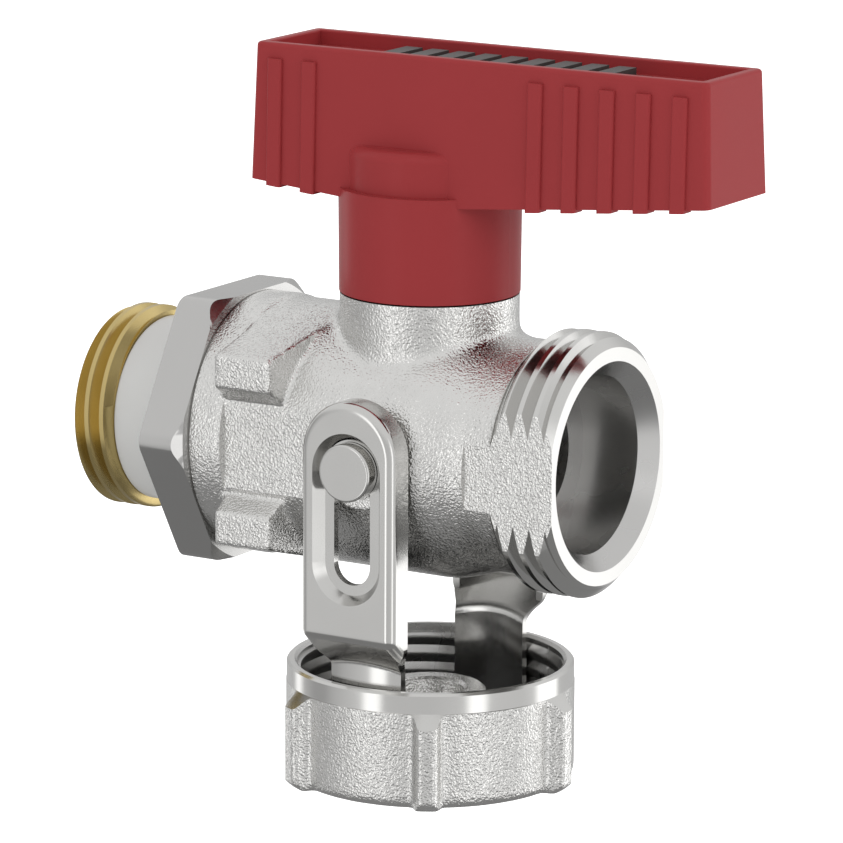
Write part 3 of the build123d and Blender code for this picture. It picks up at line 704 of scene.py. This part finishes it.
# The turned spigot on the neck, with the handle's two stops, before it is bored
def spigot():
    f = forging
    centre = (stemX, 0, 0)
    low, top = f["neckTop"] - f["sink"], bodyHigh[2]
    piece = turned("spigot", [(low, 0), (low, f["spigotR"]), (top, f["spigotR"]), (top, 0)], "Z", centre, 96)
    for middle, spread in f["stops"]:
        first, last = middle - spread / 2, middle + spread / 2
        outline = arc((0, 0), f["stopR"], first, last, 12) \
            + arc((0, 0), f["spigotR"] - f["sink"], last, first, 12)
        stop = pushed("stop", outline, "Z", low + f["sink"] / 2, f["stopTop"], centre)
        combine(piece, stop, "UNION")
    return piece


def makeValveBody():
    body = painted(castBlock(), finishes["forged_nickel"])
    combine(body, painted(flatTools(), finishes["forged_nickel"]), "DIFFERENCE")
    combine(body, painted(combine(faceTools(), neckTool(), "UNION"), machinedNickel), "DIFFERENCE")
    combine(body, painted(threadTool(), machinedNickel), "DIFFERENCE")
    combine(body, painted(spigot(), machinedNickel), "UNION")
    combine(body, painted(boreTool(), boredNickelWithShade), "DIFFERENCE")
    dress(body, "valveForging", "valve_body", body="valve", slotName="forged_nickel",
          materials=[finishes["forged_nickel"], machinedNickel, boredNickelWithShade])


# Tailpiece: a nickel hexagon with its spigot, and a brass thread in front of the seal ring
tail = {
    "acrossFlats": 27.0, "width": 4.64, "cornerR": 2.0, "chamferR": 14.33, "chamferSlope": 40.0, "edge": 0.18,
    "crestR": 10.48, "crestX": 2.70, "turns": 5, "threadEnd": 4.42, "endChamfer": (0.35, 0.50),
    "coreR": 8.30, "boreR": 7.0, "boreDepth": 13.0, "portR": 6.0,
    "crestEdge": 0.12, "coreInnerR": 5, "sealInnerR": 4.5, "envelopeR": 4, "boreEdge": 0.4,
    "past": 1, "overlap": 0.5,
    "socketR": 10.80, "spigotX": 25.70, "spigotInnerR": 5, "noseR": 9.60, "noseX": 27.60,
    "grooveX": 17.75, "grooveWidth": 1.45, "grooveDepth": 1.32, "edgeAngle": 25,
    "ringR": 9.52, "ringX": (4.42, 11.51), "ringEdge": 0.35,
}


def hexOutline(acrossFlats, cornerR, steps=8):
    outline = []
    inner = (acrossFlats / 2 - cornerR) / math.cos(math.radians(30))
    for index in range(6):
        angle = 60 * index
        centre = (inner * math.cos(math.radians(angle)), inner * math.sin(math.radians(angle)))
        outline += arc(centre, cornerR, angle - 30, angle + 30, steps)
    return outline


def tailBore():
    t = tail
    portX, endX = t["boreDepth"] + t["past"], t["noseX"] + t["past"]
    return turned("tailBore", [(-t["past"], 0), (-t["past"], t["boreR"] + t["boreEdge"]),
                               (0, t["boreR"] + t["boreEdge"]), (t["boreEdge"], t["boreR"]),
                               (t["boreDepth"], t["boreR"]), (portX, t["portR"]), (endX, t["portR"]),
                               (endX, 0)], sides=128)


def makeTailpiece():
    t = tail
    frontX = bodyLow[0]
    backX = frontX - t["width"]
    pastX = frontX + t["past"]
    tipR = t["acrossFlats"] / 2 / math.cos(math.radians(30))
    slant = (tipR - t["chamferR"]) * math.tan(math.radians(t["chamferSlope"]))
    piece = pushed("tailpieceHexagon", hexOutline(t["acrossFlats"], t["cornerR"]), "X", backX, frontX)
    shape = turned("hexShape", [(backX - t["past"], 0), (backX - t["past"], tipR + t["past"]),
                                (frontX - slant, tipR), (frontX, t["chamferR"]),
                                (pastX, t["chamferR"] - t["past"]), (pastX, 0)])
    combine(piece, shape, "INTERSECT")
    applyModifier(piece, "BEVEL", width=t["edge"] * mm, segments=3, limit_method="ANGLE",
                  angle_limit=math.radians(t["edgeAngle"]), miter_outer="MITER_ARC")
    grooveLow, grooveHigh = t["grooveX"] - t["grooveWidth"] / 2, t["grooveX"] + t["grooveWidth"] / 2
    grooveR = t["socketR"] - t["grooveDepth"]
    lowX = frontX - t["past"]
    profile = [(lowX, t["spigotInnerR"]), (lowX, t["socketR"]), (grooveLow, t["socketR"]),
               (grooveLow, grooveR), (grooveHigh, grooveR), (grooveHigh, t["socketR"]),
               (t["spigotX"], t["socketR"]), (t["spigotX"], t["noseR"]), (t["noseX"], t["noseR"]),
               (t["noseX"], t["spigotInnerR"])]
    combine(piece, turned("tailSpigot", profile, sides=128), "UNION")
    combine(piece, tailBore(), "DIFFERENCE")
    dress(painted(piece, finishes["turned_nickel"]), "tailpieceHexagon", "inlet_tailpiece", body="valve",
          slotName="turned_nickel", weighted=True)


# The brass in front of the hexagon, threaded, with the core that carries the seal ring
def makeInletThread():
    t = tail
    backX = bodyLow[0] - t["width"]
    endX, pastX, innerR = t["threadEnd"], t["threadEnd"] + t["past"], t["coreInnerR"]
    ridge = woundRidge("inletThread", t["crestR"], t["crestX"] - 2 * threadForm["pitch"], t["turns"])
    rootR = t["crestR"] - threadForm["depth"] + threadForm["root"]
    root = turned("inletCore", [(-t["past"], innerR), (-t["past"], rootR), (pastX, rootR), (pastX, innerR)])
    combine(ridge, root, "UNION")
    chamferX, chamferR = t["endChamfer"]
    envelope = [(0, t["envelopeR"]), (0, t["crestR"] - chamferR), (chamferX, t["crestR"]),
                (endX - t["crestEdge"], t["crestR"]), (endX, t["crestR"] - t["crestEdge"]),
                (endX, t["envelopeR"])]
    combine(ridge, turned("inletShape", envelope), "INTERSECT")
    lowX = endX - t["overlap"]
    core = turned("sealCore", [(lowX, t["sealInnerR"]), (lowX, t["coreR"]), (backX, t["coreR"]),
                               (backX, t["sealInnerR"])], sides=128)
    combine(ridge, core, "UNION")
    combine(ridge, tailBore(), "DIFFERENCE")
    dress(painted(ridge, finishes["plain_brass"]), "inletThread", "inlet_tailpiece", body="valve",
          slotName="plain_brass")


def makeSealRing():
    low, high = tail["ringX"]
    r, edge, inner = tail["ringR"], tail["ringEdge"], tail["coreR"]
    outline = [(low, inner)] + arc((low + edge, r - edge), edge, 180, 90, 6) \
        + arc((high - edge, r - edge), edge, 90, 0, 6) + [(high, inner)]
    ring = turned("sealRing", outline)
    dress(painted(ring, finishes["white_ptfe"]), "sealRing", "inlet_seal_ring", body="valve",
          slotName="white_ptfe")


# Screw cap: forged with six grips, then turned at the rim and threaded inside
screwCap = {
    "r": 14.62, "rimR": 14.56, "rimHeight": 2.05, "boreR": 13.48, "floor": 1.70, "edge": 1.0, "footSlope": 40.0,
    "ribs": 6, "ribR": 16.17, "ribTop": 0.90, "ribBase": 1.40, "facet": 1.35, "spare": 0.5,
    "ribSink": 1, "ribLift": 0.6, "footSpare": 0.5, "tipSpare": 2,
    "rimChamfer": 0.25, "rimSpare": 1.35, "rimOut": 5, "facetSpare": 1, "past": 4,
    "mouthLow": 0.3, "mouthPast": 1, "mouthRise": 1.3, "borePast": 5,
    "bossR": 5.60, "bossDrop": 3.0, "bossBoreR": 3.40, "bossBoreDepth": 2.2,
    "recessEdge": 0.3, "recessDraft": 0.5, "bossEdge": 0.35, "bossSpare": 0.1, "bossPast": 2,
    "threadDepth": 0.34, "threadTurns": 6, "threadRelief": 1.6, "threadStop": 0.5, "threadLow": 0.2,
    "trimR": 16, "slide": 8.7,
    "voxel": 0.25, "smoothing": 5,
}


def capRib(angle, lowZ, highZ, centre):
    c = screwCap
    inner = c["r"] - c["ribSink"]
    plan = [(inner, -c["ribBase"]), (c["r"], -c["ribBase"]), (c["ribR"], -c["ribTop"]),
            (c["ribR"], c["ribTop"]), (c["r"], c["ribBase"]), (inner, c["ribBase"])]
    turn = math.radians(angle)
    plan = [(x * math.cos(turn) - y * math.sin(turn), x * math.sin(turn) + y * math.cos(turn))
            for x, y in plan]
    return pushed("capRib", plan, "Z", lowZ, highZ, centre)


# The cap's cast block: a cup without its hollow, its ribs, and their sloping feet
def castCup():
    c = screwCap
    low, high = capLow[2], capHigh[2]
    centre = (pinX, 0, 0)
    edge = c["edge"]
    outline = [(low, 0)] + [(z, r) for r, z in arc((c["r"] - edge, low + edge), edge, -90, 0, 8)] \
        + [(high + c["spare"], c["r"]), (high + c["spare"], 0)]
    pieces = [turned("castCap", outline, "Z", centre, 144)]
    for index in range(c["ribs"]):
        pieces.append(capRib(360 / c["ribs"] * index, low, high - c["rimHeight"] + c["ribLift"], centre))
    cap = joined(pieces)
    footR, tipR, footZ = c["ribR"] - edge, c["ribR"] + c["tipSpare"], low - c["footSpare"]
    rise = (tipR - footR) * math.tan(math.radians(c["footSlope"]))
    foot = turned("capFoot", [(footZ, footR), (low, footR), (low + rise, tipR), (footZ, tipR)], "Z", centre)
    applyModifier(cap, "REMESH", mode="VOXEL", voxel_size=c["voxel"] * mm, adaptivity=0.0)
    combine(cap, foot, "DIFFERENCE")
    applyModifier(cap, "REMESH", mode="VOXEL", voxel_size=c["voxel"] * mm, adaptivity=0.0)
    applyModifier(cap, "SMOOTH", factor=0.5, iterations=c["smoothing"])
    return cap


# The cap's bore, less the thread inside it and the boss in its middle
def capBore():
    c = screwCap
    low, high = capLow[2], capHigh[2]
    centre = (pinX, 0, 0)
    floorZ, endZ, endR = low + c["floor"], high + c["borePast"], c["boreR"] + c["mouthRise"]
    bore = turned("capBore", [(floorZ, c["bossR"]), (floorZ, c["boreR"]), (high - c["mouthLow"], c["boreR"]),
                              (high + c["mouthPast"], endR), (endZ, endR), (endZ, c["bossR"])], "Z", centre)
    innerR = c["boreR"] - c["threadDepth"]
    ridge = woundRidge("capRidge", innerR, 0, c["threadTurns"], depth=c["threadDepth"], inward=True)
    # Screwed onto the outlet, the cap's ridge lies in the outlet's groove
    pitch = threadForm["pitch"]
    firstZ = high - c["threadTurns"] * pitch - c["threadLow"]
    grooveZ = pinX / mm - c["slide"] - stemMm - forging["crestX"] - pitch / 2
    ridge.rotation_euler = (0, -math.pi / 2, 0)
    ridge.location = (pinX, 0, (firstZ + (grooveZ - firstZ) % pitch) * mm)
    selectOnly(ridge)
    bpy.ops.object.transform_apply(location=True, rotation=True)
    trimLow, trimHigh = floorZ + c["threadRelief"], high - c["threadStop"]
    trim = turned("ridgeTrim", [(trimLow, innerR), (trimLow, c["trimR"]), (trimHigh, c["trimR"]),
                                (trimHigh - c["threadDepth"], innerR)], "Z", centre)
    combine(ridge, trim, "INTERSECT")
    return combine(bore, ridge, "DIFFERENCE")


# Lathe cut over the ribs' tops, the rim and its edge
def rimTool():
    c = screwCap
    high = capHigh[2]
    rimLow, edgeZ, pastZ = high - c["rimHeight"], high - c["rimChamfer"], high + c["past"]
    facetZ = rimLow - c["facet"] - c["facetSpare"]
    outerR = c["ribR"] + c["rimOut"]
    return turned("rimTool", [(facetZ, c["ribR"] + c["rimSpare"]), (rimLow, c["rimR"]), (edgeZ, c["rimR"]),
                              (high, c["rimR"] - c["rimChamfer"]), (high, 0), (pastZ, 0), (pastZ, outerR),
                              (facetZ, outerR)], "Z", (pinX, 0, 0))


# Cuts the boss down to its height and sinks the recess in its top
def bossTool():
    c = screwCap
    top, pastZ = capHigh[2] - c["bossDrop"], capHigh[2] + c["bossPast"]
    recessZ, recessR, outerR = top - c["bossBoreDepth"], c["bossBoreR"], c["bossR"] + c["bossSpare"]
    edge = c["recessEdge"]
    return turned("bossTool", [(recessZ, 0), (recessZ, recessR - c["recessDraft"]), (top - edge, recessR),
                               (top, recessR + edge), (top, c["bossR"] - c["bossEdge"]),
                               (top - c["bossEdge"], outerR), (pastZ, outerR), (pastZ, 0)],
                  "Z", (pinX, 0, 0), 96)


def makeCap():
    cap = painted(castCup(), finishes["forged_nickel"])
    bore = capBore()
    combine(cap, painted(bossTool(), finishes["forged_nickel"]), "DIFFERENCE")
    combine(cap, painted(rimTool(), machinedNickel), "DIFFERENCE")
    combine(cap, painted(bore, boredNickelWithShade), "DIFFERENCE")
    dress(cap, "capForging", "cap", body="screw_cap", slotName="forged_nickel",
          materials=[finishes["forged_nickel"], machinedNickel, boredNickelWithShade])


# Every CAD node gets the finish that the record names
for subpart in frame["record"]["subparts"]:
    for materialSlot in nodes[subpart["node"]].material_slots:
        materialSlot.material = finishes[subpart["material_slot"]]
print("finishes: made and given to the frame")

makeValveBody()
print("valve body: forged, threaded and bored")
makeTailpiece()
makeInletThread()
makeSealRing()
print("inlet: hexagon, brass thread and seal ring")
makeCap()
print("cap: forged, turned and threaded")


def placeCamera():
    azimuth = math.radians(cameraView["azimuth"])
    elevation = math.radians(cameraView["elevation"])
    roll = math.radians(cameraView["roll"])
    back = Vector((math.sin(azimuth) * math.cos(elevation), -math.cos(azimuth) * math.cos(elevation),
                   math.sin(elevation)))
    level = Vector((math.cos(azimuth), math.sin(azimuth), 0))
    rise = back.cross(level)
    right = level * math.cos(roll) + rise * math.sin(roll)
    up = rise * math.cos(roll) - level * math.sin(roll)
    aim = Vector((stemX, 0, cameraView["aimUp"])) + level * cameraView["aimRight"]
    lens = bpy.data.cameras.new("photoCamera")
    lens.lens = cameraView["lens"]
    lens.sensor_width = cameraView["sensor"]
    lens.clip_start, lens.clip_end = cameraView["clip"]
    camera = bpy.data.objects.new("photoCamera", lens)
    bpy.context.scene.collection.objects.link(camera)
    turn = Matrix((right, up, back)).transposed().to_4x4()
    camera.matrix_world = Matrix.Translation(aim + back * cameraView["distance"]) @ turn
    bpy.context.scene.camera = camera


def makeFloor():
    deselectAll()
    level = cadBox[0][2] - studio["floorDrop"]
    bpy.ops.mesh.primitive_plane_add(size=studio["floorSize"], location=(stemX, 0, level))
    floor = bpy.context.object
    floor.name = "studioFloor"
    bpy.ops.object.transform_apply(location=True)
    floor.visible_glossy = False
    material = bpy.data.materials.new("paleFloor")
    material.use_nodes = True
    tree = material.node_tree
    tree.nodes.clear()
    out = addNode(tree, "ShaderNodeOutputMaterial", (6, 0))
    paper = addNode(tree, "ShaderNodeBsdfDiffuse", (3, 0))
    paper.inputs["Color"].default_value = studio["floorGrey"]
    glow = addNode(tree, "ShaderNodeEmission", (3, 2))
    glow.inputs["Strength"].default_value = studio["floorGlow"]
    both = addNode(tree, "ShaderNodeAddShader", (4, 1))
    path = addNode(tree, "ShaderNodeLightPath", (3, 4))
    pick = addNode(tree, "ShaderNodeMixShader", (5, 0))
    link(tree, paper.outputs[0], both.inputs[0])
    link(tree, glow.outputs[0], both.inputs[1])
    link(tree, path.outputs["Is Camera Ray"], pick.inputs["Fac"])
    link(tree, paper.outputs[0], pick.inputs[1])
    link(tree, both.outputs[0], pick.inputs[2])
    link(tree, pick.outputs[0], out.inputs["Surface"])
    floor.data.materials.append(material)


# White to the eye, with the bands of a studio round the horizon for what is polished
def makeWorld():
    world = bpy.context.scene.world or bpy.data.worlds.new("studio")
    bpy.context.scene.world = world
    world.use_nodes = True
    tree = world.node_tree
    tree.nodes.clear()
    direction = addNode(tree, "ShaderNodeTexCoord", (0, 0)).outputs["Generated"]
    split = addNode(tree, "ShaderNodeSeparateXYZ", (1, 0))
    link(tree, direction, split.inputs[0])
    angle = mathNode(tree, (2, 0), "ARCTAN2", split.outputs["Y"], split.outputs["X"])
    turn = mathNode(tree, (3, 0), "MULTIPLY_ADD", angle, 0.5 / math.pi)
    turn.node.inputs[2].default_value = 0.5
    bands = addNode(tree, "ShaderNodeValToRGB", (4, 0))
    ramp = bands.color_ramp
    while len(ramp.elements) < len(horizonBands):
        ramp.elements.new(0.5)
    for element, (degrees, level) in zip(ramp.elements, horizonBands):
        element.position = (degrees + 180) / 360
        element.color = (level, level, level, 1)
    link(tree, turn, bands.inputs["Fac"])
    upper = addNode(tree, "ShaderNodeMapRange", (4, 2), interpolation_type="SMOOTHSTEP")
    upper.inputs["From Min"].default_value, upper.inputs["From Max"].default_value = studio["skyRise"]
    link(tree, split.outputs["Z"], upper.inputs["Value"])
    lower = addNode(tree, "ShaderNodeMapRange", (4, 4), interpolation_type="SMOOTHSTEP")
    lower.inputs["From Min"].default_value, lower.inputs["From Max"].default_value = studio["groundFall"]
    link(tree, split.outputs["Z"], lower.inputs["Value"])
    withSky = addNode(tree, "ShaderNodeMix", (5, 1), data_type="RGBA")
    withSky.inputs["B"].default_value = (studio["sky"],) * 3 + (1,)
    link(tree, upper.outputs[0], withSky.inputs["Factor"])
    link(tree, bands.outputs["Color"], withSky.inputs["A"])
    withGround = addNode(tree, "ShaderNodeMix", (6, 1), data_type="RGBA")
    withGround.inputs["B"].default_value = (studio["ground"],) * 3 + (1,)
    link(tree, lower.outputs[0], withGround.inputs["Factor"])
    link(tree, withSky.outputs["Result"], withGround.inputs["A"])
    shine = addNode(tree, "ShaderNodeBackground", (7, 1))
    link(tree, withGround.outputs["Result"], shine.inputs["Color"])
    ambient = addNode(tree, "ShaderNodeBackground", (7, 3))
    ambient.inputs["Color"].default_value = (1, 1, 1, 1)
    ambient.inputs["Strength"].default_value = studio["ambient"]
    white = addNode(tree, "ShaderNodeBackground", (7, 5))
    white.inputs["Color"].default_value = (1, 1, 1, 1)
    path = addNode(tree, "ShaderNodeLightPath", (6, 6))
    glossy = addNode(tree, "ShaderNodeMixShader", (8, 1))
    link(tree, path.outputs["Is Glossy Ray"], glossy.inputs["Fac"])
    link(tree, ambient.outputs[0], glossy.inputs[1])
    link(tree, shine.outputs[0], glossy.inputs[2])
    seen = mathNode(tree, (8, 5), "MAXIMUM", path.outputs["Is Camera Ray"],
                    path.outputs["Is Transmission Ray"])
    final = addNode(tree, "ShaderNodeMixShader", (9, 1))
    link(tree, seen, final.inputs["Fac"])
    link(tree, glossy.outputs[0], final.inputs[1])
    link(tree, white.outputs[0], final.inputs[2])
    out = addNode(tree, "ShaderNodeOutputWorld", (10, 1))
    link(tree, final.outputs[0], out.inputs["Surface"])


# Soft square lamps that light the part but don't show in its reflections
def addLamp(name, place, power):
    light = bpy.data.lights.new(name, "AREA")
    light.size = studio["lampSize"]
    light.energy = power
    lamp = bpy.data.objects.new(name, light)
    bpy.context.scene.collection.objects.link(lamp)
    lamp.location = Vector(place) + Vector((stemX, 0, 0))
    lamp.rotation_mode = "QUATERNION"
    lamp.rotation_quaternion = Vector(place).to_track_quat("Z", "Y")
    lamp.visible_glossy = False


placeCamera()
makeFloor()
makeWorld()
for name, (place, power) in lamps.items():
    addLamp(name, place, power)
bpy.context.scene.view_settings.view_transform = "Standard"
print("studio: camera, floor, world and lamps stand")
